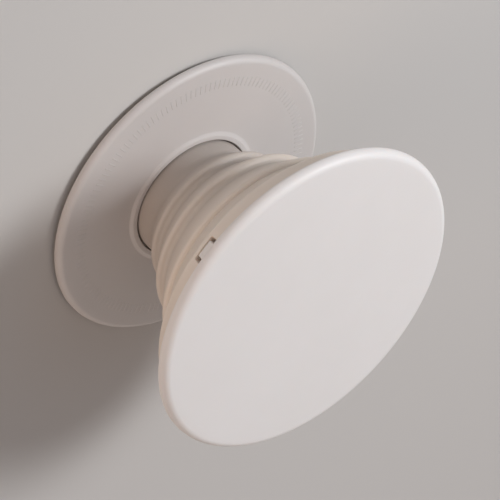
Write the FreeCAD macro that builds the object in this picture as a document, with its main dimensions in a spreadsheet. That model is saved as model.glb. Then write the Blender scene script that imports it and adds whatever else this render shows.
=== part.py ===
import FreeCAD, Part
import math
import os
import re

import Sketcher

# Collapsible phone grip: a round base with an adhesive pad under it, an elastomer bellows of three
# stepped cups that snaps into the base and turns there, and a wide button that the bellows carries.
# Millimetres. The axis is Z, the origin lies on the axis in the pad's sticking face, and the grip
# is drawn pulled out. Every piece is turned about Z, and the snap tabs face along X and Y.

SIZES = {
    # adhesive pad
    "pad_inset": 1.06,
    "pad_thickness": 0.5,
    "pad_edge_round": 0.1,
    # base plate
    "base_radius": 18.36,
    "base_thickness": 1.0,
    "base_top_round": 0.75,
    "base_foot_round": 0.15,
    "lip_width": 0.55,
    "lip_flank": 0.45,
    "lip_height": 0.22,
    "lip_round": 0.12,
    # swivel, where the bellows' foot turns in the base
    "swivel_gap": 0.2,
    "swivel_play": 0.06,
    "flange_reach": 1.8,
    "flange_thickness": 0.44,
    # bellows: neck, three cups, the shoulder above them and the collar
    "neck_radius": 7.5,
    "neck_wall": 1.0,
    "neck_rise": 2.7,
    "lower_cup_flare": 1.85,
    "lower_cup_height": 2.3,
    "middle_cup_flare": 2.3,
    "middle_cup_height": 3.9,
    "upper_cup_flare": 2.5,
    "upper_cup_height": 4.6,
    "ledge_width": 0.9,
    "ledge_rise": 0.7,
    "fold_wall": 1.15,
    "fold_floor": 0.45,
    "ridge_round": 0.45,
    "crease_round": 0.5,
    "shoulder_flare": 3.55,
    "shoulder_height": 4.1,
    "collar_foot_round": 0.6,
    "collar_flare": 1.05,
    "collar_height": 2.5,
    "collar_wall": 1.0,
    "collar_seat_gap": 0.05,
    # windows in the collar, and the button's tabs in them
    "window_rise": 0.6,
    "window_head": 0.5,
    "cut_margin": 0.5,
    "tab_count": 4,
    "tab_angle": 6.8,
    "tab_side_angle": 1.55,
    "tab_gap": 0.12,
    "tab_inset": 0.1,
    # button
    "button_overhang": 1.05,
    "edge_thickness": 1.4,
    "edge_top_round": 0.95,
    "edge_foot_round": 0.42,
    "crown_height": 0.35,
    "skirt_hem": 0.25,
    "skirt_wall": 1.0,
    "skirt_gap": 0.08,
    # foot plug
    "plug_gap": 0.05,
    "plug_wall": 0.9,
    "plug_floor": 0.7,
    "plug_height": 3.0,
    "plug_lead_in": 0.3,
}

# Radii and heights that several pieces share, as formulas over the sizes.
PAD_RADIUS = "(base_radius - pad_inset)"
FOOT_BOTTOM = "(pad_thickness + swivel_play)"
FLANGE_TOP = "(pad_thickness + swivel_play + flange_thickness)"
POCKET_CEILING = "(pad_thickness + 2 * swivel_play + flange_thickness)"
BASE_TOP = "(pad_thickness + base_thickness)"
LIP_TOP = "(pad_thickness + base_thickness + lip_height)"
HOLE_RADIUS = "(neck_radius + swivel_gap)"
LIP_RADIUS = "(neck_radius + swivel_gap + lip_width)"
FLANGE_RADIUS = "(neck_radius + flange_reach)"
NECK_BORE = "(neck_radius - neck_wall)"
NECK_TOP = "(pad_thickness + base_thickness + neck_rise)"
LOWER_RIDGE = ("(neck_radius + lower_cup_flare)", f"({NECK_TOP} + lower_cup_height)")
MIDDLE_RIDGE = (f"({LOWER_RIDGE[0]} + middle_cup_flare)", f"({LOWER_RIDGE[1]} + middle_cup_height)")
UPPER_RIDGE = (f"({MIDDLE_RIDGE[0]} + upper_cup_flare)", f"({MIDDLE_RIDGE[1]} + upper_cup_height)")
COLLAR_FOOT_RADIUS = f"({UPPER_RIDGE[0]} + shoulder_flare)"
COLLAR_FOOT = f"({UPPER_RIDGE[1]} + shoulder_height)"
COLLAR_TOP_RADIUS = f"({COLLAR_FOOT_RADIUS} + collar_flare)"
UNDERSIDE = f"({COLLAR_FOOT} + collar_height)"
COLLAR_TOP = f"({UNDERSIDE} - collar_seat_gap)"
WINDOW_FOOT = f"({COLLAR_FOOT} + window_rise)"
WINDOW_TOP = f"({COLLAR_TOP} - window_head)"
WINDOW_ANGLE = "(tab_angle + 2 * tab_side_angle)"
SKIRT_FOOT = f"({WINDOW_FOOT} - skirt_hem)"
BUTTON_RADIUS = f"({COLLAR_TOP_RADIUS} + button_overhang)"
EDGE_TOP = f"({UNDERSIDE} + edge_thickness)"
AXIS = "0"

document = FreeCAD.newDocument("PhoneGrip")


def fill_sheet():
    """Put each driving size in a cell of its own, with its name beside it and as its alias."""
    cells = document.addObject("Spreadsheet::Sheet", "Sizes")
    for row, (name, size) in enumerate(SIZES.items(), start=1):
        cells.set(f"A{row}", name)
        cells.set(f"B{row}", str(size))
        cells.setAlias(f"B{row}", name)
    document.recompute()
    return cells


sheet = fill_sheet()


def size_of(formula):
    """The number that a formula over the sizes gives."""
    return float(sheet.evalExpression(formula))


def from_sheet(formula):
    """The same formula with each size read from the sheet, for another object to be bound to."""
    return re.sub(r"[a-z]+_[a-z_]+", lambda name: "Sizes." + name.group(), formula)


def collar_face(height):
    """The radius of the collar's outer face at a height: a cone from the collar's foot to its top."""
    slope = f"collar_flare / ({COLLAR_TOP} - {COLLAR_FOOT})"
    return f"({COLLAR_FOOT_RADIUS} + ({height} - {COLLAR_FOOT}) * {slope})"


def new_body(label):
    """An empty body at the origin, whose label names its file."""
    body = document.addObject("PartDesign::Body", label)
    body.Label = label
    body.Placement = FreeCAD.Placement()
    return body


def origin_feature(body, role):
    """The body's own plane or axis that has this role."""
    return next(item for item in body.Origin.OriginFeatures if item.Role == role)


def new_sketch(body, name, role):
    """A sketch on one of the body's own planes."""
    sketch = body.newObject("Sketcher::SketchObject", name)
    sketch.AttachmentSupport = (origin_feature(body, role), [""])
    sketch.MapMode = "FlatFace"
    sketch.Visibility = False
    return sketch


def hold(sketch, kind, curve, point, formula, label):
    """Tie a point's distance from the origin, along X or Y, to a formula. AXIS puts it on the axis."""
    if formula == AXIS:
        across = -2 if kind == "DistanceX" else -1
        sketch.addConstraint(Sketcher.Constraint("PointOnObject", curve, point, across))
        return
    rule = Sketcher.Constraint(kind, -1, 1, curve, point, size_of(formula))
    sketch.renameConstraint(sketch.addConstraint(rule), label)
    sketch.setExpression("Constraints." + label, from_sheet(formula))


def arc_between(start, end, centre_radius):
    """The anticlockwise arc from start to end whose centre stands at this radius."""
    across = (start.x - centre_radius) ** 2 - (end.x - centre_radius) ** 2
    height = (across + start.y**2 - end.y**2) / (2 * (start.y - end.y))
    centre = FreeCAD.Vector(centre_radius, height, 0)
    first = math.atan2(start.y - height, start.x - centre_radius)
    last = math.atan2(end.y - height, end.x - centre_radius)
    circle = Part.Circle(centre, FreeCAD.Vector(0, 0, 1), start.distanceToPoint(centre))
    return Part.ArcOfCircle(circle, first, last if last > first else last + 2 * math.pi)


def outline(body, name, corners):
    """A closed outline in the half plane beside the axis, anticlockwise, x the radius, y the height.

    A straight edge leaves a corner (radius, height), and an arc leaves a corner
    (radius, height, centre radius).
    """
    sketch = new_sketch(body, name, "XZ_Plane")
    places = [FreeCAD.Vector(size_of(corner[0]), size_of(corner[1]), 0) for corner in corners]
    curves = []
    for index, corner in enumerate(corners):
        start, end = places[index], places[(index + 1) % len(places)]
        if len(corner) == 3:
            curve = arc_between(start, end, size_of(corner[2]))
        else:
            curve = Part.LineSegment(start, end)
        curves.append(sketch.addGeometry(curve))
    for index, corner in enumerate(corners):
        curve, following = curves[index], curves[(index + 1) % len(curves)]
        sketch.addConstraint(Sketcher.Constraint("Coincident", curve, 2, following, 1))
        hold(sketch, "DistanceX", curve, 1, corner[0], f"radius_{index}")
        hold(sketch, "DistanceY", curve, 1, corner[1], f"height_{index}")
        if len(corner) == 3:
            hold(sketch, "DistanceX", curve, 3, corner[2], f"centre_{index}")
    return sketch


def turn(body, kind, name, sketch, angle=None):
    """Turn an outline about the axis, all the way or by an angle centred on X, to add or to cut."""
    feature = body.newObject(kind, name)
    feature.Profile = sketch
    feature.ReferenceAxis = (sketch, ["V_Axis"])
    if angle is None:
        feature.Angle = 360
    else:
        feature.Midplane = True
        feature.Angle = size_of(angle)
        feature.setExpression("Angle", from_sheet(angle))
    document.recompute()
    return feature


def rings(feature, places):
    """The names of the feature's full circles at these (radius, height) places."""
    wanted = [(size_of(radius), size_of(height)) for radius, height in places]
    names = []
    for number, edge in enumerate(feature.Shape.Edges, start=1):
        if edge.Degenerated or not isinstance(edge.Curve, Part.Circle) or not edge.isClosed():
            continue
        here = (edge.Curve.Radius, edge.Curve.Center.z)
        if any(math.dist(here, place) < 1e-4 for place in wanted):
            names.append(f"Edge{number}")
    if len(names) != len(places):
        raise ValueError(f"{feature.Name} has {len(names)} of {len(places)} rings")
    return names


def rounded(body, name, base, radius, places):
    """Round the base feature's circles at these places."""
    feature = body.newObject("PartDesign::Fillet", name)
    feature.Base = (base, rings(base, places))
    feature.Radius = size_of(radius)
    feature.setExpression("Radius", from_sheet(radius))
    document.recompute()
    return feature


def around(body, name, feature):
    """Repeat a feature evenly about the axis, once for each snap tab."""
    pattern = body.newObject("PartDesign::PolarPattern", name)
    pattern.Originals = [feature]
    pattern.Axis = (origin_feature(body, "Z_Axis"), [""])
    pattern.Angle = 360
    pattern.Occurrences = int(size_of("tab_count"))
    pattern.setExpression("Occurrences", "Sizes.tab_count")
    body.Tip = pattern
    document.recompute()
    return pattern


def make_adhesive_pad():
    """The washable pad that sticks the base down: a plain disc with a slightly rounded edge."""
    body = new_body("adhesive_pad")
    face = outline(
        body,
        "pad_outline",
        [(AXIS, AXIS), (PAD_RADIUS, AXIS), (PAD_RADIUS, "pad_thickness"), (AXIS, "pad_thickness")],
    )
    disc = turn(body, "PartDesign::Revolution", "pad_disc", face)
    body.Tip = rounded(body, "pad_edge", disc, "pad_edge_round", [(PAD_RADIUS, AXIS)])
    return body


def make_base_plate():
    """The hard disc with a rounded rim, a raised lip round its hole and a pocket behind the hole."""
    body = new_body("base_plate")
    pocket = "(neck_radius + flange_reach + swivel_gap)"
    section = outline(
        body,
        "base_section",
        [
            (pocket, "pad_thickness"),
            ("base_radius", "pad_thickness"),
            ("base_radius", BASE_TOP),
            (LIP_RADIUS + " + lip_flank", BASE_TOP),
            (LIP_RADIUS, LIP_TOP),
            (HOLE_RADIUS, LIP_TOP),
            (HOLE_RADIUS, POCKET_CEILING),
            (pocket, POCKET_CEILING),
        ],
    )
    disc = turn(body, "PartDesign::Revolution", "base_disc", section)
    rim = rounded(body, "base_rim", disc, "base_top_round", [("base_radius", BASE_TOP)])
    foot = rounded(body, "base_foot", rim, "base_foot_round", [("base_radius", "pad_thickness")])
    lip = [(LIP_RADIUS, LIP_TOP), (HOLE_RADIUS, LIP_TOP)]
    body.Tip = rounded(body, "base_lip", foot, "lip_round", lip)
    return body


def cup_rings(ridge, inner=False):
    """A cup's widest ring and the crease above it, on the outer face or one wall further in."""
    crease = (ridge[0] + " - ledge_width", ridge[1] + " + ledge_rise")
    if not inner:
        return [ridge, crease]
    return [(radius + " - fold_wall", height + " - fold_floor") for radius, height in (crease, ridge)]


def make_bellows():
    """The elastomer moulding: snap flange, neck, three cups with soft ledges, and windowed collar."""
    body = new_body("bellows")
    cups = (LOWER_RIDGE, MIDDLE_RIDGE, UPPER_RIDGE)
    outer = [corner for cup in cups for corner in cup_rings(cup)]
    inner = [corner for cup in reversed(cups) for corner in cup_rings(cup, inner=True)]
    section = outline(
        body,
        "bellows_section",
        [
            (NECK_BORE, FOOT_BOTTOM),
            (FLANGE_RADIUS, FOOT_BOTTOM),
            (FLANGE_RADIUS, FLANGE_TOP),
            ("neck_radius", FLANGE_TOP),
            ("neck_radius", NECK_TOP),
            *outer,
            (COLLAR_FOOT_RADIUS, COLLAR_FOOT),
            (COLLAR_TOP_RADIUS, COLLAR_TOP),
            (COLLAR_TOP_RADIUS + " - collar_wall", COLLAR_TOP),
            (COLLAR_FOOT_RADIUS + " - collar_wall", COLLAR_FOOT),
            *inner,
            (NECK_BORE, NECK_TOP),
        ],
    )
    wall = turn(body, "PartDesign::Revolution", "bellows_wall", section)
    ridges = rounded(body, "bellows_ridges", wall, "ridge_round", [cup_rings(cup)[0] for cup in cups])
    creases = rounded(body, "bellows_creases", ridges, "crease_round", [cup_rings(cup)[1] for cup in cups])
    collar_foot = [(COLLAR_FOOT_RADIUS, COLLAR_FOOT)]
    collar = rounded(body, "collar_foot", creases, "collar_foot_round", collar_foot)
    opening = outline(
        body,
        "window_outline",
        [
            (COLLAR_FOOT_RADIUS + " - collar_wall - cut_margin", WINDOW_FOOT),
            (COLLAR_TOP_RADIUS + " + cut_margin", WINDOW_FOOT),
            (COLLAR_TOP_RADIUS + " + cut_margin", WINDOW_TOP),
            (COLLAR_FOOT_RADIUS + " - collar_wall - cut_margin", WINDOW_TOP),
        ],
    )
    window = turn(body, "PartDesign::Groove", "window", opening, WINDOW_ANGLE)
    if window.Shape.Volume >= collar.Shape.Volume:
        raise ValueError("the window cuts nothing")
    around(body, "windows", window)
    return body


def make_button():
    """The wide crowned disc with a softly rounded edge, its skirt inside the collar and the snap tabs."""
    body = new_body("button")
    skirt_radius = collar_face(SKIRT_FOOT) + " - collar_wall - skirt_gap"
    skirt_root = collar_face(UNDERSIDE) + " - collar_wall - skirt_gap"
    section = outline(
        body,
        "button_section",
        [
            (AXIS, UNDERSIDE),
            (skirt_radius + " - skirt_wall", UNDERSIDE),
            (skirt_radius + " - skirt_wall", SKIRT_FOOT),
            (skirt_radius, SKIRT_FOOT),
            (skirt_root, UNDERSIDE),
            (BUTTON_RADIUS, UNDERSIDE),
            (BUTTON_RADIUS, EDGE_TOP, AXIS),
            (AXIS, EDGE_TOP + " + crown_height"),
        ],
    )
    disc = turn(body, "PartDesign::Revolution", "button_disc", section)
    top_edge = [(BUTTON_RADIUS, EDGE_TOP)]
    foot_edge = [(BUTTON_RADIUS, UNDERSIDE)]
    crowned = rounded(body, "edge_top", disc, "edge_top_round", top_edge)
    soft = rounded(body, "edge_foot", crowned, "edge_foot_round", foot_edge)
    tab_foot = f"({WINDOW_FOOT} + tab_gap)"
    tab_top = f"({WINDOW_TOP} - tab_gap)"
    tab_section = outline(
        body,
        "tab_section",
        [
            (skirt_radius + " - skirt_wall", tab_foot),
            (collar_face(tab_foot) + " - tab_inset", tab_foot),
            (collar_face(tab_top) + " - tab_inset", tab_top),
            (skirt_radius + " - skirt_wall", tab_top),
        ],
    )
    tab = turn(body, "PartDesign::Revolution", "tab", tab_section, "tab_angle")
    if tab.Shape.Volume <= soft.Shape.Volume:
        raise ValueError("the tab adds nothing")
    around(body, "tabs", tab)
    return body


def make_foot_plug():
    """The hard cup pressed up into the neck, which keeps the snap flange spread behind the base."""
    body = new_body("foot_plug")
    radius = NECK_BORE + " - plug_gap"
    top = FOOT_BOTTOM + " + plug_height"
    section = outline(
        body,
        "plug_section",
        [
            (AXIS, FOOT_BOTTOM),
            (radius, FOOT_BOTTOM),
            (radius, top + " - plug_lead_in"),
            (radius + " - plug_lead_in", top),
            (radius + " - plug_wall", top),
            (radius + " - plug_wall", FOOT_BOTTOM + " + plug_floor"),
            (AXIS, FOOT_BOTTOM + " + plug_floor"),
        ],
    )
    body.Tip = turn(body, "PartDesign::Revolution", "plug_cup", section)
    return body


def main():
    """Build every piece, check the document and write one file for each piece."""
    bodies = [
        make_adhesive_pad(),
        make_base_plate(),
        make_bellows(),
        make_button(),
        make_foot_plug(),
    ]
    document.recompute()
    for item in document.Objects:
        if {"Invalid", "Error"} & set(item.State):
            raise ValueError(f"{item.Name} did not compute: {item.State}")
    os.makedirs("parts", exist_ok=True)
    for body in bodies:
        shape = body.Shape
        if shape.isNull() or not shape.isValid() or len(shape.Solids) != 1:
            raise ValueError(f"{body.Label} is not one valid solid")
        shape.exportStep(os.path.join("parts", body.Label + ".step"))
        print(body.Label, round(shape.Volume, 2), shape.BoundBox)


main()
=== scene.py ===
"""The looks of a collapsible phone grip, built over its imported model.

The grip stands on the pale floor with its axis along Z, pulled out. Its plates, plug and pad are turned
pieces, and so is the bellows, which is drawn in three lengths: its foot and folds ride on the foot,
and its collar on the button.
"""

import logging
import math
from collections.abc import Callable
from dataclasses import dataclass, field
from enum import Enum

import bmesh
import bpy
from mathutils import Matrix, Quaternion, Vector


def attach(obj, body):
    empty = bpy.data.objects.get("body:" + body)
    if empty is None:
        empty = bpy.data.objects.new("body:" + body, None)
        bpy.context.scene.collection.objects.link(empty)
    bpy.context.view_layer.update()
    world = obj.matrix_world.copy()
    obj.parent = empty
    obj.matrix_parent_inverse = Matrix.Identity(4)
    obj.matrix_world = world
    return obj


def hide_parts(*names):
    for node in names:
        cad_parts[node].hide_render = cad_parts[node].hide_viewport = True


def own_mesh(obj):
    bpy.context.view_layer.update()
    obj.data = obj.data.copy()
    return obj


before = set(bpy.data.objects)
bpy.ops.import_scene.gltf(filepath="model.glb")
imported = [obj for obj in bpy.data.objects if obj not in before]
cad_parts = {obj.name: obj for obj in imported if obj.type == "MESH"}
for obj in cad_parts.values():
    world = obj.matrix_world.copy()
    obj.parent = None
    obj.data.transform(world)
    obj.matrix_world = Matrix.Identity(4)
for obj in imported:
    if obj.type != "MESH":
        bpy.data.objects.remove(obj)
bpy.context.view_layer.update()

logging.basicConfig(level=logging.INFO, format="%(message)s")
log = logging.getLogger("grip")

MM = 0.001
FULL_TURN = 2 * math.pi

# Turned pieces: columns of faces round the axis, and how finely and how sharply they are drawn
COLUMNS = 360
HALF_COLUMN_DEGREES = 180 / COLUMNS
ARC_STEP_DEGREES = 9
STRAIGHT_ANGLE = 0.01
SHARP_ANGLE = math.radians(32)
CORNER_EDGE_ANGLE = math.radians(50)

# How near places are to count as one, in metres, and how near directions are, in degrees
SAME_PLACE = 1e-7
SEAM_WELD = 1e-6
SLACK = 1e-5
OFF_AXIS_SLACK = 0.1

# Names and measures that two sections share
SNAP_AZIMUTHS = (0, 90, 180, 270)
# Attribute names of the rubber's painted highlight along its folds, and of its painted light and shade up
# the wall
PAINTED_HIGHLIGHT_MARK = "crest"
PAINTED_LIGHT_AND_SHADE_MARK = "rise"
GEL_DEPTH_MM = 0.12


class Body(Enum):
    """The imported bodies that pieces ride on."""

    BASE = "base"
    FOOT = "foot"
    BUTTON = "button"


class Slot(Enum):
    """Names of material slots."""

    PAD = "pad"
    BASE = "base"
    ELASTOMER = "elastomer"
    PLUG = "plug"
    BUTTON = "button"


# Colours and nodes


def linear(code: str) -> tuple[float, float, float, float]:
    """Turn an sRGB hex colour into linear light.

    Args:
        code: The colour as "#rrggbb".

    Returns:
        Red, green and blue in linear light, and an alpha of 1.
    """
    shares = [int(code[at : at + 2], 16) / 255 for at in (1, 3, 5)]
    light = [c / 12.92 if c <= 0.04045 else ((c + 0.055) / 1.055) ** 2.4 for c in shares]
    return (*light, 1.0)


def per_mm(size: float) -> float:
    """The pattern scale at which one cell of a pattern is this many millimetres wide."""
    return 1 / (size * MM)


def add_node(
    tree: bpy.types.NodeTree,
    kind: str,
    settings: dict | None = None,
    sockets: dict | None = None,
) -> bpy.types.Node:
    """Add a node with its settings, and fill or link its inputs.

    Args:
        tree: The node tree that takes the node.
        kind: The node's type name.
        settings: Properties of the node itself.
        sockets: Input name or number to a value, or to another node's output.

    Returns:
        The new node.
    """
    node = tree.nodes.new(kind)
    for name, value in (settings or {}).items():
        setattr(node, name, value)
    for name, value in (sockets or {}).items():
        if isinstance(value, bpy.types.NodeSocket):
            tree.links.new(value, node.inputs[name])
        else:
            node.inputs[name].default_value = value
    return node


def new_material(name: str) -> tuple[bpy.types.Material, bpy.types.NodeTree]:
    """A material with an empty node tree, and that tree."""
    material = bpy.data.materials.new(name)
    material.use_nodes = True
    material.node_tree.nodes.clear()
    return material, material.node_tree


# Finishes


@dataclass(frozen=True)
class MouldedPlastic:
    """Injection-moulded polycarbonate blend from a spark-eroded mould.

    Gives the eye an even, slightly warm white, dull at a glance and soft in its highlights, with a
    grain that only shows close up.
    """

    name: str
    colour: str
    shade: str
    grain_mm: float = 0.22
    grain_height_mm: float = 0.004
    roughness: float = 0.5
    mottle_mm: float = 9.0

    def material(self) -> bpy.types.Material:
        """Build the node material."""
        material, tree = new_material(self.name)
        place = add_node(tree, "ShaderNodeTexCoord").outputs["Object"]
        cloud = add_node(
            tree,
            "ShaderNodeTexNoise",
            sockets={"Vector": place, "Scale": per_mm(self.mottle_mm), "Detail": 3.0, "Roughness": 0.6},
        )
        tint = add_node(
            tree,
            "ShaderNodeMix",
            {"data_type": "RGBA"},
            {"Factor": cloud.outputs["Fac"], 6: linear(self.shade), 7: linear(self.colour)},
        )
        grain = add_node(
            tree,
            "ShaderNodeTexNoise",
            sockets={"Vector": place, "Scale": per_mm(self.grain_mm), "Detail": 4.0, "Roughness": 0.65},
        )
        dull = add_node(
            tree,
            "ShaderNodeMapRange",
            sockets={
                "Value": grain.outputs["Fac"],
                "From Min": 0.3,
                "From Max": 0.7,
                "To Min": self.roughness - 0.05,
                "To Max": self.roughness + 0.05,
            },
        )
        bump = add_node(
            tree,
            "ShaderNodeBump",
            sockets={"Strength": 0.6, "Distance": self.grain_height_mm * MM, "Height": grain.outputs["Fac"]},
        )
        surface = add_node(
            tree,
            "ShaderNodeBsdfPrincipled",
            sockets={
                "Base Color": tint.outputs[2],
                "Roughness": dull.outputs["Result"],
                "IOR": 1.58,
                "Normal": bump.outputs["Normal"],
                "Subsurface Weight": 0.12,
                "Subsurface Radius": (1.0, 0.75, 0.6),
                "Subsurface Scale": 0.6 * MM,
            },
        )
        add_node(tree, "ShaderNodeOutputMaterial", sockets={"Surface": surface.outputs[0]})
        return material


@dataclass(frozen=True)
class Elastomer:
    """Translucent thermoplastic elastomer, satin from the mould.

    Gives the eye a milky, beige rubber. Its colour holds painted light and shade: darker and greyer
    at the neck and in the middle of each wall between ridges as painted shade, paler and warmer
    towards the collar as painted light where light comes through it, and palest along its folded
    edges as a painted highlight.
    """

    name: str
    # neck and collar are the two ends of the painted light and shade up the wall; crest is the painted
    # highlight's colour
    neck: str
    collar: str
    crest: str
    grain_mm: float = 0.35
    roughness: float = 0.46

    def material(self) -> bpy.types.Material:
        """Build the node material."""
        material, tree = new_material(self.name)
        place = add_node(tree, "ShaderNodeTexCoord").outputs["Object"]
        cloud = add_node(
            tree,
            "ShaderNodeTexNoise",
            sockets={"Vector": place, "Scale": per_mm(6.0), "Detail": 2.0},
        )
        # Rise mark: painted shade at the neck and mid-wall, painted light towards the collar
        height = add_node(tree, "ShaderNodeAttribute", {"attribute_name": PAINTED_LIGHT_AND_SHADE_MARK})
        level = add_node(
            tree,
            "ShaderNodeMix",
            {"data_type": "FLOAT"},
            {"Factor": 0.12, "A": height.outputs["Fac"], "B": cloud.outputs["Fac"]},
        )
        body = add_node(
            tree,
            "ShaderNodeMix",
            {"data_type": "RGBA"},
            {"Factor": level.outputs["Result"], 6: linear(self.neck), 7: linear(self.collar)},
        )
        # Crest mark: a painted highlight along the folded edges
        painted_crest_highlight = add_node(tree, "ShaderNodeAttribute", {"attribute_name": PAINTED_HIGHLIGHT_MARK})
        tint = add_node(
            tree,
            "ShaderNodeMix",
            {"data_type": "RGBA"},
            {"Factor": painted_crest_highlight.outputs["Fac"], 6: body.outputs[2], 7: linear(self.crest)},
        )
        grain = add_node(
            tree,
            "ShaderNodeTexNoise",
            sockets={"Vector": place, "Scale": per_mm(self.grain_mm), "Detail": 3.0},
        )
        bump = add_node(
            tree,
            "ShaderNodeBump",
            sockets={"Strength": 0.35, "Distance": 0.006 * MM, "Height": grain.outputs["Fac"]},
        )
        surface = add_node(
            tree,
            "ShaderNodeBsdfPrincipled",
            sockets={
                "Base Color": tint.outputs[2],
                "Roughness": self.roughness,
                "IOR": 1.49,
                "Normal": bump.outputs["Normal"],
                "Subsurface Weight": 0.1,
                "Subsurface Radius": (1.0, 0.7, 0.42),
                "Subsurface Scale": 0.8 * MM,
            },
        )
        add_node(tree, "ShaderNodeOutputMaterial", sockets={"Surface": surface.outputs[0]})
        return material


@dataclass(frozen=True)
class GelPad:
    """Polyurethane gel cast on a thin closed-cell foam.

    Gives the eye a dark, finely celled edge, and underneath a smoother tacky face with a soft shine.
    """

    name: str
    foam: str
    gel: str
    gel_depth_mm: float = GEL_DEPTH_MM
    cell_mm: float = 0.28

    def material(self) -> bpy.types.Material:
        """Build the node material."""
        material, tree = new_material(self.name)
        place = add_node(tree, "ShaderNodeTexCoord").outputs["Object"]
        height = add_node(tree, "ShaderNodeSeparateXYZ", sockets={"Vector": place}).outputs["Z"]
        is_foam = add_node(
            tree,
            "ShaderNodeMapRange",
            sockets={
                "Value": height,
                "From Min": self.gel_depth_mm * MM * 0.8,
                "From Max": self.gel_depth_mm * MM,
            },
        ).outputs["Result"]
        cells = add_node(
            tree,
            "ShaderNodeTexVoronoi",
            {"feature": "F1"},
            {"Vector": place, "Scale": per_mm(self.cell_mm)},
        )
        flecked = add_node(
            tree,
            "ShaderNodeMix",
            {"data_type": "RGBA"},
            {"Factor": cells.outputs["Distance"], 6: linear(self.foam), 7: linear(self.gel)},
        )
        tint = add_node(
            tree,
            "ShaderNodeMix",
            {"data_type": "RGBA"},
            {"Factor": is_foam, 6: linear(self.gel), 7: flecked.outputs[2]},
        )
        dull = add_node(
            tree,
            "ShaderNodeMapRange",
            sockets={"Value": is_foam, "To Min": 0.28, "To Max": 0.85},
        )
        bump = add_node(
            tree,
            "ShaderNodeBump",
            sockets={"Strength": 0.5, "Distance": 0.03 * MM, "Height": cells.outputs["Distance"]},
        )
        surface = add_node(
            tree,
            "ShaderNodeBsdfPrincipled",
            sockets={
                "Base Color": tint.outputs[2],
                "Roughness": dull.outputs["Result"],
                "Normal": bump.outputs["Normal"],
            },
        )
        add_node(tree, "ShaderNodeOutputMaterial", sockets={"Surface": surface.outputs[0]})
        return material


@dataclass(frozen=True)
class PlainPaint:
    """Matt wall paint on the floor: pale, even and without a shine."""

    name: str
    colour: str
    shade: str

    def material(self) -> bpy.types.Material:
        """Build the node material."""
        material, tree = new_material(self.name)
        place = add_node(tree, "ShaderNodeTexCoord").outputs["Object"]
        cloud = add_node(
            tree,
            "ShaderNodeTexNoise",
            sockets={"Vector": place, "Scale": per_mm(160.0), "Detail": 1.0},
        )
        tint = add_node(
            tree,
            "ShaderNodeMix",
            {"data_type": "RGBA"},
            {"Factor": cloud.outputs["Fac"], 6: linear(self.shade), 7: linear(self.colour)},
        )
        surface = add_node(
            tree,
            "ShaderNodeBsdfPrincipled",
            sockets={"Base Color": tint.outputs[2], "Roughness": 0.9, "Specular IOR Level": 0.2},
        )
        add_node(tree, "ShaderNodeOutputMaterial", sockets={"Surface": surface.outputs[0]})
        return material


# The base's white is a darker copy of the button's white: painted shade for the lesser light that reaches it
# under the button
SHADED_BASE_WHITE = MouldedPlastic("polycarbonate_base_white_painted_shade", "#d0cbc8", "#cbc5c2")
BUTTON_WHITE = MouldedPlastic("polycarbonate_button_white", "#eeeae8", "#e9e5e2")
PLUG_WHITE = MouldedPlastic("polypropylene_plug_white", "#e2dfda", "#dad6d0", roughness=0.4)
# The neck's colour is darkened as painted shade; the collar's and crest's are paled as painted light and
# painted highlight
MILKY_RUBBER = Elastomer("elastomer_milky_beige", "#aea59e", "#ebdfd3", "#efe5da")
TACKY_PAD = GelPad("polyurethane_gel_on_foam", "#3a3836", "#1e1d1c")
FLOOR_PAINT = PlainPaint("matt_paint_pale", "#d2cfcb", "#cdc9c5")


# Modelling


@dataclass(frozen=True)
class Corner:
    """A corner of an outline beside the axis: its radius and height, and how far it is rounded, in mm."""

    radius: float
    height: float
    rounding: float = 0.0

    @property
    def place(self) -> Vector:
        """Where the corner is, in metres."""
        return Vector((self.radius * MM, 0.0, self.height * MM))


def deselect_all() -> None:
    """Deselect every object."""
    bpy.ops.object.select_all(action="DESELECT")


def activate(piece: bpy.types.Object) -> None:
    """Make this the only selected object, and the active one."""
    deselect_all()
    piece.select_set(True)
    bpy.context.view_layer.objects.active = piece


def select_where(piece: bpy.types.Object, mode: str, wanted: Callable[..., bool]) -> None:
    """In edit mode, select just the edges or faces that a test picks.

    Args:
        piece: The object in edit mode.
        mode: "EDGE" or "FACE".
        wanted: The test, given the element.
    """
    bpy.ops.mesh.select_mode(type=mode)
    bpy.ops.mesh.select_all(action="DESELECT")
    mesh = bmesh.from_edit_mesh(piece.data)
    mesh.normal_update()
    for element in {"EDGE": mesh.edges, "FACE": mesh.faces}[mode]:
        if wanted(element):
            element.select_set(True)
    mesh.select_flush_mode()
    bmesh.update_edit_mesh(piece.data)


def finish_mesh(piece: bpy.types.Object) -> None:
    """Leave edit mode and shade the piece smooth, but for its sharp edges."""
    bpy.ops.object.mode_set(mode="OBJECT")
    activate(piece)
    bpy.ops.object.shade_smooth_by_angle(angle=SHARP_ANGLE)


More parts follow.
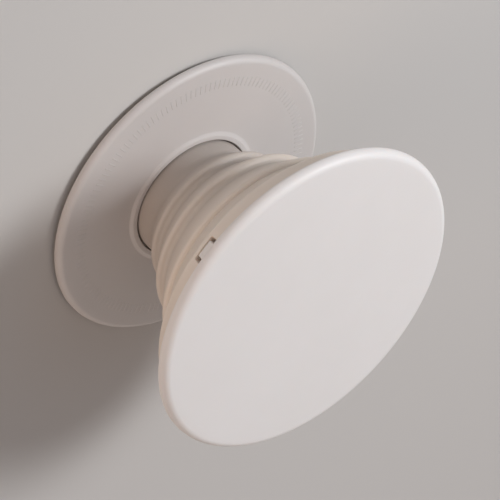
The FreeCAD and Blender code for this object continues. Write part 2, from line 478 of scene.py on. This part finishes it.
class Lathe:
    """Draws an outline beside the axis with a pen and turns it into a closed shell."""

    def __init__(self, name: str) -> None:
        """Put the pen down, for a piece of this name."""
        deselect_all()
        bpy.ops.mesh.primitive_plane_add(size=MM)
        self.piece = bpy.context.object
        self.piece.name = name
        self.piece.data.name = name
        bpy.ops.object.mode_set(mode="EDIT")
        bpy.ops.mesh.select_mode(type="VERT")
        bpy.ops.mesh.select_all(action="SELECT")
        bpy.ops.mesh.merge(type="CENTER")
        self.pen = Vector((0.0, 0.0, 0.0))

    def move(self, place: Vector) -> None:
        """Move the single first vertex to where the outline starts."""
        bpy.ops.transform.translate(value=place - self.pen)
        self.pen = place

    def line(self, place: Vector) -> None:
        """Draw a straight edge to a place."""
        if (place - self.pen).length < SAME_PLACE:
            return
        bpy.ops.mesh.extrude_region_move(TRANSFORM_OT_translate={"value": place - self.pen})
        self.pen = place

    def arc(self, centre: Vector, angle: float, steps: int) -> None:
        """Draw an arc about a centre.

        Args:
            centre: The arc's centre.
            angle: How far it turns, in radians, anticlockwise with the radius to the right.
            steps: How many edges it has.
        """
        axis = Vector((0.0, -math.copysign(1.0, angle), 0.0))
        bpy.ops.mesh.spin(steps=steps, angle=abs(angle), center=centre, axis=-axis)
        self.pen = centre + Quaternion(axis, abs(angle)) @ (self.pen - centre)

    def corner(self, before: Corner, here: Corner, after: Corner) -> None:
        """Draw up to a corner and round it, between the corners before and after it."""
        along = (here.place - before.place).normalized()
        onward = (after.place - here.place).normalized()
        angle = math.atan2(along.x * onward.z - along.z * onward.x, along.dot(onward))
        if here.rounding == 0 or abs(angle) < STRAIGHT_ANGLE:
            self.line(here.place)
            return
        radius = here.rounding * MM
        self.line(here.place - along * radius * math.tan(abs(angle) / 2))
        side = Vector((-along.z, 0.0, along.x)) * math.copysign(radius, angle)
        self.arc(self.pen + side, angle, max(3, round(math.degrees(abs(angle)) / ARC_STEP_DEGREES)))

    def turn(self, corners: list[Corner], closed: bool = True) -> bpy.types.Object:
        """Draw the outline and spin it round the axis.

        Args:
            corners: The outline's corners in order.
            closed: Whether it ends where it starts. An open one starts and ends on the axis.

        Returns:
            The piece, still in edit mode.
        """
        count = len(corners)
        if closed:
            middle = (corners[0].place + corners[1].place) / 2
            self.move(middle)
            order = [*range(1, count), 0]
        else:
            self.move(corners[0].place)
            order = list(range(1, count - 1))
        for at in order:
            self.corner(corners[at - 1], corners[at], corners[(at + 1) % count])
        self.line(middle if closed else corners[-1].place)
        bpy.ops.mesh.select_all(action="SELECT")
        bpy.ops.mesh.remove_doubles(threshold=SAME_PLACE)
        bpy.ops.mesh.spin(steps=COLUMNS, angle=FULL_TURN, center=(0, 0, 0), axis=(0, 0, 1))
        bpy.ops.mesh.select_all(action="SELECT")
        bpy.ops.mesh.remove_doubles(threshold=SEAM_WELD)
        bpy.ops.mesh.normals_make_consistent(inside=False)
        return self.piece


def turned_by(piece: bpy.types.Object, degrees: float) -> None:
    """Turn a piece's mesh about the axis by an angle in degrees."""
    piece.data.transform(Matrix.Rotation(math.radians(degrees), 4, "Z"))


def azimuth_of(place: Vector) -> float:
    """A place's angle about the axis, in degrees from +X."""
    return math.degrees(math.atan2(place.y, place.x))


def off_axis(place: Vector, azimuth: float) -> float:
    """How many degrees a place lies from a direction, whichever way round."""
    return abs((azimuth_of(place) - azimuth + 180) % 360 - 180)


def dress(
    piece: bpy.types.Object,
    material: bpy.types.Material,
    body: Body,
    slot: Slot,
    *nodes: str,
) -> None:
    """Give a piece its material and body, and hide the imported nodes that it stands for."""
    piece.data.materials.clear()
    piece.data.materials.append(material)
    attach(piece, body.value)
    if nodes:
        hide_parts(*nodes)
    triangles = sum(len(face.vertices) - 2 for face in piece.data.polygons)
    log.info("%s: %d triangles, rides on %s", piece.name, triangles, body.value)


# Sub-assemblies


@dataclass
class Pad:
    """The washable pad that sticks the grip down: gel under a thin foam."""

    radius: float = 17.3
    thickness: float = 0.5
    edge_round: float = 0.1
    gel_depth: float = GEL_DEPTH_MM
    gel_round: float = 0.03
    step: float = 0.06
    step_round: float = 0.02
    foam_round: float = 0.04
    rim_width: float = 1.2

    def build(self) -> bpy.types.Object:
        """Turn the pad, with the foam set back a little from the gel."""
        foam = self.radius - self.step
        piece = Lathe("pad_disc").turn(
            [
                Corner(0, 0),
                Corner(self.radius - self.rim_width, 0),
                Corner(self.radius, 0, self.edge_round),
                Corner(self.radius, self.gel_depth, self.gel_round),
                Corner(foam, self.gel_depth, self.step_round),
                Corner(foam, self.thickness, self.foam_round),
                Corner(foam - self.rim_width, self.thickness),
                Corner(0, self.thickness),
            ],
            closed=False,
        )
        finish_mesh(piece)
        return piece

    def make(self) -> None:
        """Build and dress the pad."""
        dress(self.build(), TACKY_PAD.material(), Body.BASE, Slot.PAD, "adhesive_pad")


@dataclass
class BasePlate:
    """The hard disc under the bellows, with its lip and a ring of fine relief."""

    radius: float = 18.36
    foot: float = 0.5
    top: float = 1.5
    top_round: float = 0.75
    foot_round: float = 0.15
    hole_radius: float = 7.7
    lip_radius: float = 8.25
    lip_flank: float = 0.45
    lip_top: float = 1.72
    lip_round: float = 0.12
    lip_blend: float = 0.5
    lip_run: float = 0.9
    rim_width: float = 1.2
    foot_width: float = 1.0
    pocket_radius: float = 9.5
    pocket_ceiling: float = 1.06
    pocket_round: float = 0.1
    edge_break: float = 0.05
    tick_ring: float = 15.4
    tick_length: float = 1.25
    tick_width: float = 0.2
    tick_height: float = 0.035
    tick_taper: tuple[float, float, float] = (0.93, 0.6, 1.0)
    tick_round: float = 0.02
    tick_count: int = 144

    def build(self) -> bpy.types.Object:
        """Turn the plate."""
        flank = self.lip_radius + self.lip_flank
        piece = Lathe("base_disc").turn(
            [
                Corner(self.pocket_radius, self.foot, self.edge_break),
                Corner(self.radius - self.foot_width, self.foot),
                Corner(self.radius, self.foot, self.foot_round),
                Corner(self.radius, self.top, self.top_round),
                Corner(self.radius - self.rim_width, self.top),
                Corner(flank + self.lip_run, self.top),
                Corner(flank, self.top, self.lip_blend),
                Corner(self.lip_radius, self.lip_top, self.lip_round),
                Corner(self.hole_radius, self.lip_top, self.lip_round),
                Corner(self.hole_radius, self.pocket_ceiling, self.edge_break),
                Corner(self.pocket_radius, self.pocket_ceiling, self.pocket_round),
            ]
        )
        finish_mesh(piece)
        return piece

    def one_tick(self) -> bpy.types.Object:
        """A slim raised bar beside +X, narrower at its top, with softened edges."""
        deselect_all()
        bpy.ops.mesh.primitive_cube_add(
            size=1.0,
            location=(self.tick_ring * MM, 0.0, self.top * MM),
            scale=(self.tick_length * MM, self.tick_width * MM, 2 * self.tick_height * MM),
        )
        tick = bpy.context.object
        bpy.ops.object.transform_apply(location=True, rotation=False, scale=True)
        bpy.ops.object.mode_set(mode="EDIT")
        select_where(tick, "FACE", lambda face: face.normal.z > 0.5)
        bpy.ops.transform.resize(value=self.tick_taper, center_override=(self.tick_ring * MM, 0.0, 0.0))
        select_where(tick, "EDGE", lambda edge: all(v.co.z > self.top * MM for v in edge.verts))
        bpy.ops.mesh.bevel(offset=self.tick_round * MM, segments=2, affect="EDGES")
        bpy.ops.object.mode_set(mode="OBJECT")
        return tick

    def build_ticks(self) -> bpy.types.Object:
        """Copy the tick round the plate and join the copies into one ring."""
        first = self.one_tick()
        copies = [first]
        for number in range(1, self.tick_count):
            copy = first.copy()
            copy.data = first.data.copy()
            bpy.context.scene.collection.objects.link(copy)
            turned_by(copy, 360 * number / self.tick_count)
            copies.append(copy)
        activate(first)
        for copy in copies:
            copy.select_set(True)
        bpy.ops.object.join()
        first.name = "base_ticks"
        first.data.name = "base_ticks"
        finish_mesh(first)
        return first

    def make(self) -> None:
        """Build and dress the plate and its relief."""
        material = SHADED_BASE_WHITE.material()
        dress(self.build(), material, Body.BASE, Slot.BASE, "base_plate")
        dress(self.build_ticks(), material, Body.BASE, Slot.BASE)


@dataclass
class Bellows:
    """The elastomer moulding, in three lengths: the foot in the base, the folds and the collar."""

    neck_radius: float = 7.5
    neck_bore: float = 6.5
    neck_top: float = 4.2
    flange_radius: float = 9.3
    flange_foot: float = 0.56
    flange_top: float = 1.0
    flange_foot_round: float = 0.15
    flange_round: float = 0.1
    bore_round: float = 0.05
    foot_end: float = 1.75
    neck_blend: float = 2.2
    bore_blend: float = 0.5
    ridges: list[tuple[float, float]] = field(
        default_factory=lambda: [(9.35, 6.5), (11.65, 10.4), (14.15, 15.0)]
    )
    ledge_width: float = 0.9
    ledge_rise: float = 0.7
    ridge_round: float = 0.45
    crease_round: float = 0.5
    fold_wall: float = 1.15
    fold_floor: float = 0.45
    inner_round: float = 0.12
    collar_foot: tuple[float, float] = (17.7, 19.1)
    collar_top: tuple[float, float] = (18.75, 21.55)
    collar_foot_round: float = 0.6
    collar_wall: float = 1.0
    collar_top_round: float = 0.12
    collar_bore_round: float = 0.08
    collar_start: float = 18.9
    window_foot: float = 19.7
    window_top: float = 21.05
    window_half_angle: float = 5.0
    window_corner_round: float = 0.22
    window_rim_round: float = 0.06
    travel: float = 16.5
    # Painted light on the rubber: where the painted highlight lies on each fold, how wide it is, how strong
    # at the neck and at the collar, and how much painted shade darkens the middle of each wall
    crest_inset: float = 0.42
    crest_drop: float = 0.1
    crest_reach: float = 0.6
    neck_painted_highlight: float = 0.15
    collar_painted_highlight: float = 0.7
    mid_wall_painted_shade: float = 0.35

    def crease(self, ridge: tuple[float, float]) -> tuple[float, float]:
        """The inner end of the ledge over a ridge."""
        return ridge[0] - self.ledge_width, ridge[1] + self.ledge_rise

    def shoulder_at(self, height: float, inner: bool = False) -> float:
        """The radius of the shoulder's outer or inner wall at a height."""
        if inner:
            low = (self.ridges[-1][0] - self.fold_wall, self.ridges[-1][1] - self.fold_floor)
            high = (self.collar_foot[0] - self.collar_wall, self.collar_foot[1])
        else:
            low = self.crease(self.ridges[-1])
            high = self.collar_foot
        return low[0] + (height - low[1]) * (high[0] - low[0]) / (high[1] - low[1])

    def collar_at(self, height: float) -> float:
        """The radius of the collar's outer face at a height."""
        low, high = self.collar_foot, self.collar_top
        return low[0] + (height - low[1]) * (high[0] - low[0]) / (high[1] - low[1])

    def build_foot(self) -> bpy.types.Object:
        """Turn the snap flange and the neck's end in the base."""
        piece = Lathe("bellows_foot").turn(
            [
                Corner(self.neck_bore, self.flange_foot, self.bore_round),
                Corner(self.flange_radius, self.flange_foot, self.flange_foot_round),
                Corner(self.flange_radius, self.flange_top, self.flange_round),
                Corner(self.neck_radius, self.flange_top, self.flange_round),
                Corner(self.neck_radius, self.foot_end),
                Corner(self.neck_bore, self.foot_end),
            ]
        )
        finish_mesh(piece)
        return piece

    def build_folds(self) -> bpy.types.Object:
        """Turn the neck above the base, the three cups and the shoulder."""
        outer = []
        for ridge in self.ridges:
            outer += [Corner(*ridge, self.ridge_round), Corner(*self.crease(ridge), self.crease_round)]
        inner = []
        for ridge in reversed(self.ridges):
            for radius, height in (ridge, self.crease(ridge)):
                inner.append(Corner(radius - self.fold_wall, height - self.fold_floor, self.inner_round))
        piece = Lathe("bellows_folds").turn(
            [
                Corner(self.neck_bore, self.foot_end),
                Corner(self.neck_radius, self.foot_end),
                Corner(self.neck_radius, self.neck_top, self.neck_blend),
                *outer,
                Corner(self.shoulder_at(self.collar_start), self.collar_start),
                Corner(self.shoulder_at(self.collar_start, inner=True), self.collar_start),
                *inner,
                Corner(self.neck_bore, self.neck_top, self.bore_blend),
            ]
        )
        finish_mesh(piece)
        return piece

    def build_collar(self) -> bpy.types.Object:
        """Turn the collar, open its windows and soften their edges."""
        wall = self.collar_wall
        piece = Lathe("bellows_collar").turn(
            [
                Corner(self.shoulder_at(self.collar_start, inner=True), self.collar_start),
                Corner(self.shoulder_at(self.collar_start), self.collar_start),
                Corner(*self.collar_foot, self.collar_foot_round),
                Corner(self.collar_at(self.window_foot), self.window_foot),
                Corner(self.collar_at(self.window_top), self.window_top),
                Corner(*self.collar_top, self.collar_top_round),
                Corner(self.collar_top[0] - wall, self.collar_top[1], self.collar_bore_round),
                Corner(self.collar_at(self.window_top) - wall, self.window_top),
                Corner(self.collar_at(self.window_foot) - wall, self.window_foot),
                Corner(self.collar_foot[0] - wall, self.collar_foot[1]),
            ]
        )
        for azimuth in SNAP_AZIMUTHS:
            self.open_window(piece, azimuth)
        finish_mesh(piece)
        return piece

    def open_window(self, piece: bpy.types.Object, azimuth: float) -> None:
        """Open one window through the collar's wall and round its corners and rim.

        Args:
            piece: The collar, in edit mode.
            azimuth: The direction that the window faces, in degrees from +X.
        """
        low, high = self.window_foot * MM, self.window_top * MM
        half = self.window_half_angle

        def in_window(face: bmesh.types.BMFace) -> bool:
            """Whether a face lies in the window, on either side of the wall."""
            middle = face.calc_center_median()
            return low < middle.z < high and off_axis(middle, azimuth) < half

        def through_corner(edge: bmesh.types.BMEdge) -> bool:
            """Whether an edge runs through the wall at one of the window's corners."""
            ends = [v.co for v in edge.verts]
            if not low - SLACK < ends[0].z < high + SLACK or abs(ends[0].z - ends[1].z) > SLACK:
                return False
            depth = abs(ends[0].to_2d().length - ends[1].to_2d().length)
            at_side = all(abs(off_axis(end, azimuth) - half) < OFF_AXIS_SLACK for end in ends)
            at_end = min(abs(ends[0].z - low), abs(ends[0].z - high)) < SLACK
            return depth > self.collar_wall / 2 * MM and at_side and at_end

        def on_rim(edge: bmesh.types.BMEdge) -> bool:
            """Whether an edge lies on the window's outer rim."""
            if not low - SLACK < edge.verts[0].co.z < high + SLACK:
                return False
            if len(edge.link_faces) != 2 or edge.calc_face_angle(0.0) < CORNER_EDGE_ANGLE:
                return False
            middle = (edge.verts[0].co + edge.verts[1].co) / 2
            outside = middle.to_2d().length > (self.collar_at(middle.z / MM) - self.collar_wall / 3) * MM
            at_height = low - SLACK < middle.z < high + SLACK
            return outside and at_height and off_axis(middle, azimuth) < half + OFF_AXIS_SLACK

        select_where(piece, "FACE", in_window)
        bpy.ops.mesh.bridge_edge_loops()
        select_where(piece, "EDGE", through_corner)
        bpy.ops.mesh.bevel(offset=self.window_corner_round * MM, segments=4, affect="EDGES")
        select_where(piece, "EDGE", on_rim)
        bpy.ops.mesh.bevel(offset=self.window_rim_round * MM, segments=2, affect="EDGES")

    def mid_wall(self, height: float) -> float:
        """How near a height is to the middle of a wall between two cups' ridges, from 0 to 1.

        It sets how much painted shade darkens the wall there.
        """
        for (_, low), (_, high) in zip(self.ridges, self.ridges[1:]):
            if low < height < high:
                return math.sin(math.pi * (height - low) / (high - low))
        return 0.0

    def mark_painted_light(self, piece: bpy.types.Object) -> None:
        """Write each vertex's painted light: a painted highlight near each folded edge, and painted
        light and shade up the wall, darker at the neck and mid-wall and paler towards the collar.
        """
        crests = [(radius - self.crest_inset, height - self.crest_drop) for radius, height in self.ridges]
        crests.append((self.collar_foot[0], self.collar_foot[1] + self.crest_drop))
        near, painted_light_level = [], []
        for vertex in piece.data.vertices:
            radius, height = vertex.co.to_2d().length / MM, vertex.co.z / MM
            share = (height - self.neck_top) / (self.collar_start - self.neck_top)
            share = min(max(share, 0.0), 1.0)
            painted_light_level.append(share * (1 - self.mid_wall_painted_shade * self.mid_wall(height)))
            gap = min(math.dist((radius, height), crest) for crest in crests)
            strength = self.neck_painted_highlight + share * (self.collar_painted_highlight - self.neck_painted_highlight)
            near.append(math.exp(-((gap / self.crest_reach) ** 2)) * strength)
        for name, values in ((PAINTED_HIGHLIGHT_MARK, near), (PAINTED_LIGHT_AND_SHADE_MARK, painted_light_level)):
            mark = piece.data.attributes.new(name, "FLOAT", "POINT")
            mark.data.foreach_set("value", values)

    def make(self) -> None:
        """Build and dress the three lengths."""
        material = MILKY_RUBBER.material()
        foot, folds, collar = self.build_foot(), self.build_folds(), self.build_collar()
        for piece in (foot, folds, collar):
            self.mark_painted_light(piece)
        dress(foot, material, Body.FOOT, Slot.ELASTOMER, "bellows")
        dress(folds, material, Body.FOOT, Slot.ELASTOMER, "bellows")
        dress(collar, material, Body.BUTTON, Slot.ELASTOMER, "bellows")
        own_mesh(folds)


@dataclass
class Plug:
    """The hard cup pressed up into the neck."""

    radius: float = 6.45
    foot: float = 0.56
    floor: float = 0.7
    wall: float = 0.9
    height: float = 3.0
    lead_in: float = 0.3
    foot_round: float = 0.08
    edge_round: float = 0.1
    floor_round: float = 0.25

    def build(self) -> bpy.types.Object:
        """Turn the cup."""
        bore = self.radius - self.wall
        top = self.foot + self.height
        piece = Lathe("plug_cup").turn(
            [
                Corner(0, self.foot),
                Corner(self.radius, self.foot, self.foot_round),
                Corner(self.radius, top - self.lead_in, self.edge_round),
                Corner(self.radius - self.lead_in, top, self.edge_round),
                Corner(bore, top, self.edge_round),
                Corner(bore, self.foot + self.floor, self.floor_round),
                Corner(0, self.foot + self.floor),
            ],
            closed=False,
        )
        finish_mesh(piece)
        return piece

    def make(self) -> None:
        """Build and dress the plug."""
        dress(self.build(), PLUG_WHITE.material(), Body.FOOT, Slot.PLUG, "foot_plug")


@dataclass
class Button:
    """The wide crowned disc, its skirt and the four snap tabs that show in the windows."""

    radius: float = 19.79
    underside: float = 21.6
    edge_top: float = 23.0
    edge_top_round: float = 0.95
    edge_foot_round: float = 0.42
    crown: float = 0.35
    face_radii: tuple[float, ...] = (18.4, 16, 13, 10, 7, 4, 1.5, 0)
    skirt_foot: float = 19.45
    skirt_wall: float = 1.0
    skirt_round: float = 0.12
    ceiling_round: float = 0.3
    root_round: float = 0.05
    skirt_foot_radius: float = 16.77
    skirt_root_radius: float = 17.691
    tab_foot: float = 19.82
    tab_top: float = 20.93
    tab_reach: float = 0.98
    tab_half_angle: float = 3.5
    tab_round: float = 0.1

    def skirt_at(self, height: float) -> float:
        """The radius of the skirt's outer face at a height."""
        rise = (height - self.skirt_foot) / (self.underside - self.skirt_foot)
        return self.skirt_foot_radius + rise * (self.skirt_root_radius - self.skirt_foot_radius)

    def dome(self, radius: float) -> float:
        """The height of the crowned face at a radius, on a wide sphere."""
        sphere = (self.radius**2 + self.crown**2) / (2 * self.crown)
        return self.edge_top + self.crown - sphere + math.sqrt(sphere**2 - radius**2)

    def build(self) -> bpy.types.Object:
        """Turn the disc and its skirt, and pull the tabs out of the skirt."""
        inside = self.skirt_foot_radius - self.skirt_wall
        face = [Corner(radius, self.dome(radius)) for radius in self.face_radii]
        piece = Lathe("button_disc").turn(
            [
                Corner(0, self.underside),
                Corner(inside, self.underside, self.ceiling_round),
                Corner(inside, self.skirt_foot, self.skirt_round),
                Corner(self.skirt_foot_radius, self.skirt_foot, self.skirt_round),
                Corner(self.skirt_at(self.tab_foot), self.tab_foot),
                Corner(self.skirt_at(self.tab_top), self.tab_top),
                Corner(self.skirt_root_radius, self.underside, self.root_round),
                Corner(self.radius, self.underside, self.edge_foot_round),
                Corner(self.radius, self.edge_top, self.edge_top_round),
                *face,
            ],
            closed=False,
        )
        bpy.ops.object.mode_set(mode="OBJECT")
        turned_by(piece, HALF_COLUMN_DEGREES)
        bpy.ops.object.mode_set(mode="EDIT")
        for azimuth in SNAP_AZIMUTHS:
            self.pull_tab(piece, azimuth)
        finish_mesh(piece)
        return piece

    def pull_tab(self, piece: bpy.types.Object, azimuth: float) -> None:
        """Pull one snap tab out of the skirt and soften its edges.

        Args:
            piece: The button, in edit mode.
            azimuth: The direction that the tab faces, in degrees from +X.
        """
        outward = Matrix.Rotation(math.radians(azimuth), 3, "Z") @ Vector((1.0, 0.0, 0.0))

        def on_skirt(face: bmesh.types.BMFace) -> bool:
            """Whether a face is the tab's root on the skirt's outer side."""
            middle = face.calc_center_median()
            turned_out = face.normal.dot(outward) > 0.5
            high_enough = self.tab_foot * MM < middle.z < self.tab_top * MM
            return turned_out and high_enough and off_axis(middle, azimuth) < self.tab_half_angle

        def on_tab(edge: bmesh.types.BMEdge) -> bool:
            """Whether an edge bounds the tab's face."""
            low, high = self.tab_foot * MM - SLACK, self.tab_top * MM + SLACK
            if not low < edge.verts[0].co.z < high or edge.calc_face_angle(0.0) < CORNER_EDGE_ANGLE:
                return False
            middle = (edge.verts[0].co + edge.verts[1].co) / 2
            proud = middle.to_2d().length > (self.skirt_at(middle.z / MM) + self.tab_reach / 2) * MM
            near = off_axis(middle, azimuth) < self.tab_half_angle + OFF_AXIS_SLACK
            return proud and near and low < middle.z < high

        select_where(piece, "FACE", on_skirt)
        bpy.ops.mesh.extrude_region_move(TRANSFORM_OT_translate={"value": outward * self.tab_reach * MM})
        select_where(piece, "EDGE", on_tab)
        bpy.ops.mesh.bevel(offset=self.tab_round * MM, segments=3, affect="EDGES")

    def make(self) -> None:
        """Build and dress the button."""
        dress(self.build(), BUTTON_WHITE.material(), Body.BUTTON, Slot.BUTTON, "button")


# Studio


@dataclass
class Studio:
    """The floor, the lamps, the world and the camera."""

    camera_place: tuple[float, float, float] = (-64.1, -359.1, 261.0)
    target: tuple[float, float, float] = (0.0, 0.0, 12.4)
    roll_degrees: float = 132.5
    lens: float = 285.0
    floor_radius: float = 4000.0
    key_direction: tuple[float, float, float] = (-0.703, 0.075, 0.707)
    key_strength: float = 2.05
    key_spread: float = 17.0
    key_colour: str = "#fafcff"
    near_share: float = 0.5
    near_distance: float = 220.0
    fill_direction: tuple[float, float, float] = (0.66, -0.73, 0.16)
    fill_strength: float = 1.1
    fill_spread: float = 40.0
    fill_colour: str = "#ffe4d0"
    bright_direction: tuple[float, float, float] = (-0.5, -0.3, 0.81)
    bright_strength: float = 0.43
    bright_tint: str = "#edf4ff"
    dark_strength: float = 0.035
    dark_tint: str = "#ffd3b2"
    backdrop: str = "#f4f1ee"

    def place_camera(self) -> None:
        """Put the camera where the photograph was taken from, turned about its own axis as it was."""
        data = bpy.data.cameras.new("camera")
        data.lens = self.lens
        data.sensor_width = 36.0
        data.clip_start, data.clip_end = 0.01, 20.0
        camera = bpy.data.objects.new("camera", data)
        bpy.context.scene.collection.objects.link(camera)
        place, target = Vector(self.camera_place) * MM, Vector(self.target) * MM
        level = (target - place).to_track_quat("-Z", "Y")
        roll = Quaternion((0.0, 0.0, 1.0), math.radians(self.roll_degrees))
        camera.rotation_mode = "QUATERNION"
        camera.rotation_quaternion = level @ roll
        camera.location = place
        bpy.context.scene.camera = camera

    def lay_floor(self) -> None:
        """Lay the pale floor that the grip stands on."""
        deselect_all()
        bpy.ops.mesh.primitive_circle_add(
            vertices=128,
            radius=self.floor_radius * MM,
            fill_type="NGON",
            location=(0, 0, -0.02 * MM),
        )
        floor = bpy.context.object
        floor.name = "floor"
        floor.data.materials.append(FLOOR_PAINT.material())

    def hang(
        self,
        lamp: bpy.types.Light,
        towards: tuple[float, float, float],
        colour: str,
        distance: float = 1.0,
        shines: bool = True,
    ) -> None:
        """Colour a lamp, hang it in a direction from the grip and turn it to shine back.

        Args:
            lamp: The lamp's data.
            towards: The direction from the grip to the lamp.
            colour: Its sRGB hex colour.
            distance: How far it hangs from the grip, in metres.
            shines: Whether it makes highlights too.
        """
        lamp.color = linear(colour)[:3]
        holder = bpy.data.objects.new(lamp.name, lamp)
        bpy.context.scene.collection.objects.link(holder)
        holder.visible_glossy = shines
        direction = Vector(towards).normalized()
        holder.location = Vector(self.target) * MM + direction * distance
        holder.rotation_mode = "QUATERNION"
        holder.rotation_quaternion = (-direction).to_track_quat("-Z", "Y")

    def far_lamp(self, name: str, strength: float, spread: float) -> bpy.types.Light:
        """A soft lamp so far away that it lights the whole floor alike.

        Args:
            name: The lamp's name.
            strength: Its light on a surface that faces it, in watts a square metre.
            spread: How wide it looks, in degrees.

        Returns:
            The lamp's data.
        """
        lamp = bpy.data.lights.new(name, "SUN")
        lamp.energy = strength
        lamp.angle = math.radians(spread)
        return lamp

    def near_lamp(self, name: str, strength: float, spread: float, distance: float) -> bpy.types.Light:
        """A soft round lamp close by, whose light falls off across the grip.

        Args:
            name: The lamp's name.
            strength: Its light at the grip, on a surface that faces it, in watts a square metre.
            spread: How wide it looks from the grip, in degrees.
            distance: How far it hangs from the grip, in metres.

        Returns:
            The lamp's data.
        """
        lamp = bpy.data.lights.new(name, "AREA")
        lamp.shape = "DISK"
        lamp.size = 2 * distance * math.tan(math.radians(spread) / 2)
        lamp.energy = strength * math.pi * distance**2
        return lamp

    def hang_lamps(self) -> None:
        """Hang the key light high on one side, and a weak warm lamp low on the other.

        The key light is shared by a far lamp and a near one. The weak lamp stands for light thrown back
        from below, so it makes no highlights.
        """
        distance = self.near_distance * MM
        near_strength = self.key_strength * self.near_share
        far = self.far_lamp("key", self.key_strength - near_strength, self.key_spread)
        self.hang(far, self.key_direction, self.key_colour)
        near = self.near_lamp("near_key", near_strength, self.key_spread, distance)
        self.hang(near, self.key_direction, self.key_colour, distance)
        fill = self.far_lamp("fill", self.fill_strength, self.fill_spread)
        self.hang(fill, self.fill_direction, self.fill_colour, shines=False)

    def fill_world(self) -> None:
        """Fill the room with soft light, cool from the bright side and warm from the dark one.

        The camera, highlights and clear materials see the room as plain white.
        """
        world = bpy.data.worlds.new("room")
        bpy.context.scene.world = world
        world.use_nodes = True
        tree = world.node_tree
        tree.nodes.clear()
        towards = add_node(tree, "ShaderNodeTexCoord").outputs["Generated"]
        facing = add_node(
            tree,
            "ShaderNodeVectorMath",
            {"operation": "DOT_PRODUCT"},
            {0: towards, 1: Vector(self.bright_direction).normalized()},
        )
        share = add_node(
            tree,
            "ShaderNodeMapRange",
            sockets={"Value": facing.outputs["Value"], "From Min": -0.6, "From Max": 1.0},
        ).outputs["Result"]
        strength = add_node(
            tree,
            "ShaderNodeMapRange",
            sockets={"Value": share, "To Min": self.dark_strength, "To Max": self.bright_strength},
        ).outputs["Result"]
        tint = add_node(
            tree,
            "ShaderNodeMix",
            {"data_type": "RGBA"},
            {"Factor": share, 6: linear(self.dark_tint), 7: linear(self.bright_tint)},
        ).outputs[2]
        light = add_node(tree, "ShaderNodeBackground", sockets={"Color": tint, "Strength": strength})
        seen = add_node(
            tree,
            "ShaderNodeBackground",
            sockets={"Color": linear(self.backdrop), "Strength": 1.0},
        )
        path = add_node(tree, "ShaderNodeLightPath")
        looking = path.outputs["Is Camera Ray"]
        for kind in ("Is Glossy Ray", "Is Transmission Ray"):
            looking = add_node(
                tree,
                "ShaderNodeMath",
                {"operation": "MAXIMUM"},
                {0: looking, 1: path.outputs[kind]},
            ).outputs[0]
        mix = add_node(
            tree,
            "ShaderNodeMixShader",
            sockets={0: looking, 1: light.outputs[0], 2: seen.outputs[0]},
        )
        add_node(tree, "ShaderNodeOutputWorld", sockets={"Surface": mix.outputs[0]})

    def make(self) -> None:
        """Set up the whole studio."""
        bpy.context.scene.view_settings.view_transform = "Standard"
        self.place_camera()
        self.lay_floor()
        self.hang_lamps()
        self.fill_world()


def main() -> None:
    """Build the studio and every sub-assembly in order."""
    for assembly in (Studio(), Pad(), BasePlate(), Bellows(), Plug(), Button()):
        assembly.make()
        log.info("%s is made", type(assembly).__name__)
    deselect_all()


if __name__ == "__main__":
    main()
